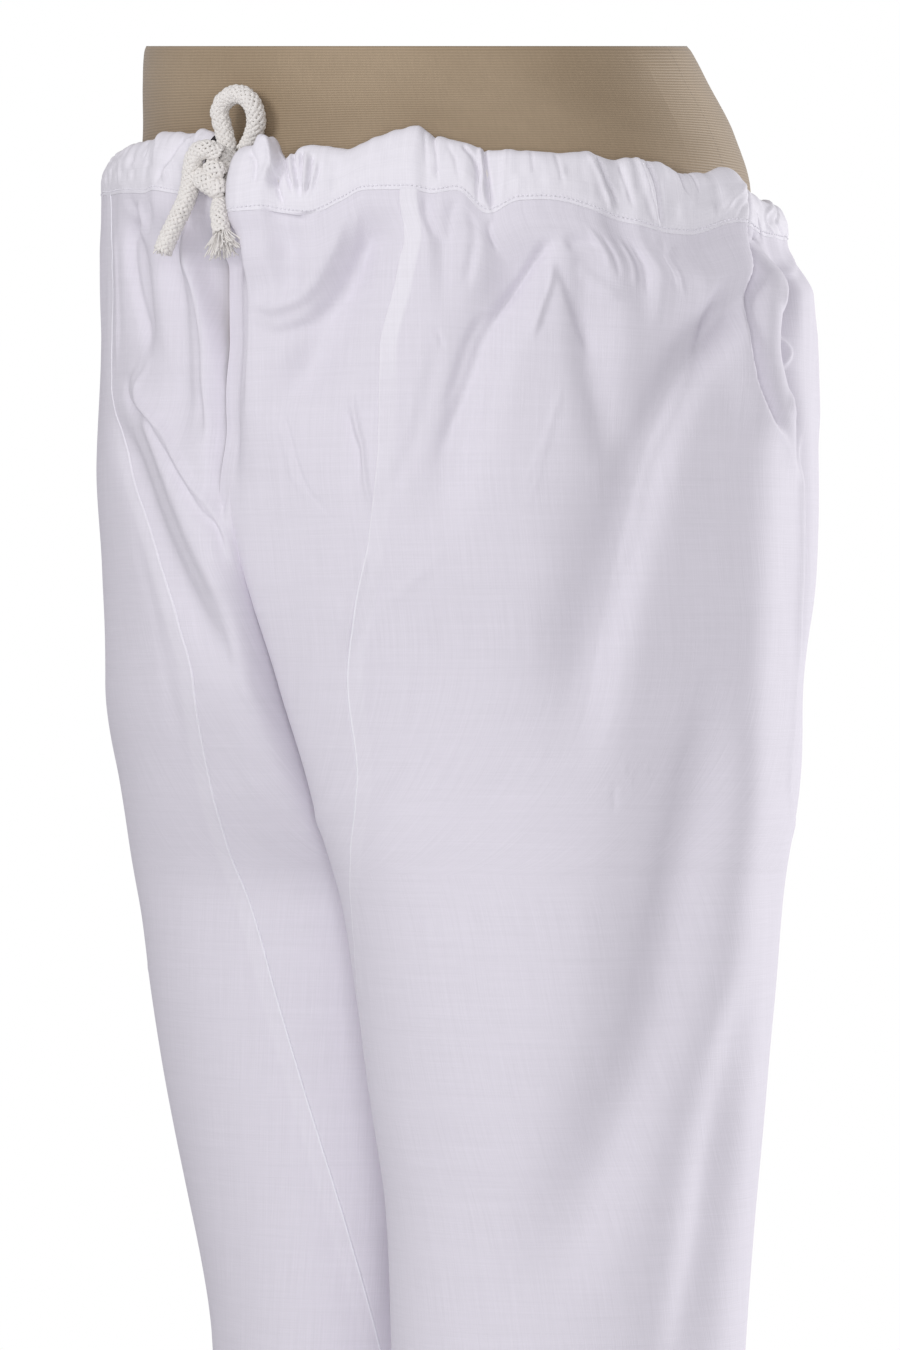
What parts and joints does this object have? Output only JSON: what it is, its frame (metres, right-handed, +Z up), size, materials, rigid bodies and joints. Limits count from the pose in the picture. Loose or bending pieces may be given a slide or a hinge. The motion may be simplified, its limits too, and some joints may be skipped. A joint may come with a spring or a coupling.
{
  "type": "aligarhi pajama on dress form",
  "caption": "White cotton drawstring pajama trousers with inner gore panels, worn by a limbless dress form on a pole and round base.",
  "frame": {"origin": "centre of the round base's underside, on the floor", "axes": "+Z up, the wearer faces -Y, the wearer's left is +X"},
  "size_m": [0.4465, 0.3826, 1.1583],
  "materials": {
    "cotton": "fine white plain-weave cotton, matt",
    "cord": "off-white braided cotton cord",
    "form_cover": "tan woven cover, slight sheen",
    "stand_metal": "brushed"
  },
  "bodies": {
    "root": {"leg_left": "cotton", "leg_right": "cotton", "front_kali_left": "cotton", "front_kali_right": "cotton", "back_kali_left": "cotton", "back_kali_right": "cotton", "casing_left": "cotton", "casing_right": "cotton", "drawstring_in_casing": "cord", "drawstring_knot": "cord", "drawstring_loop": "cord", "drawstring_long_end": "cord", "drawstring_short_end": "cord", "drawstring_fray": "cord", "dress_form": "form_cover", "stand_collar": "stand_metal", "stand_pole": "stand_metal", "stand_base": "stand_metal"}
  },
  "joints": []
}
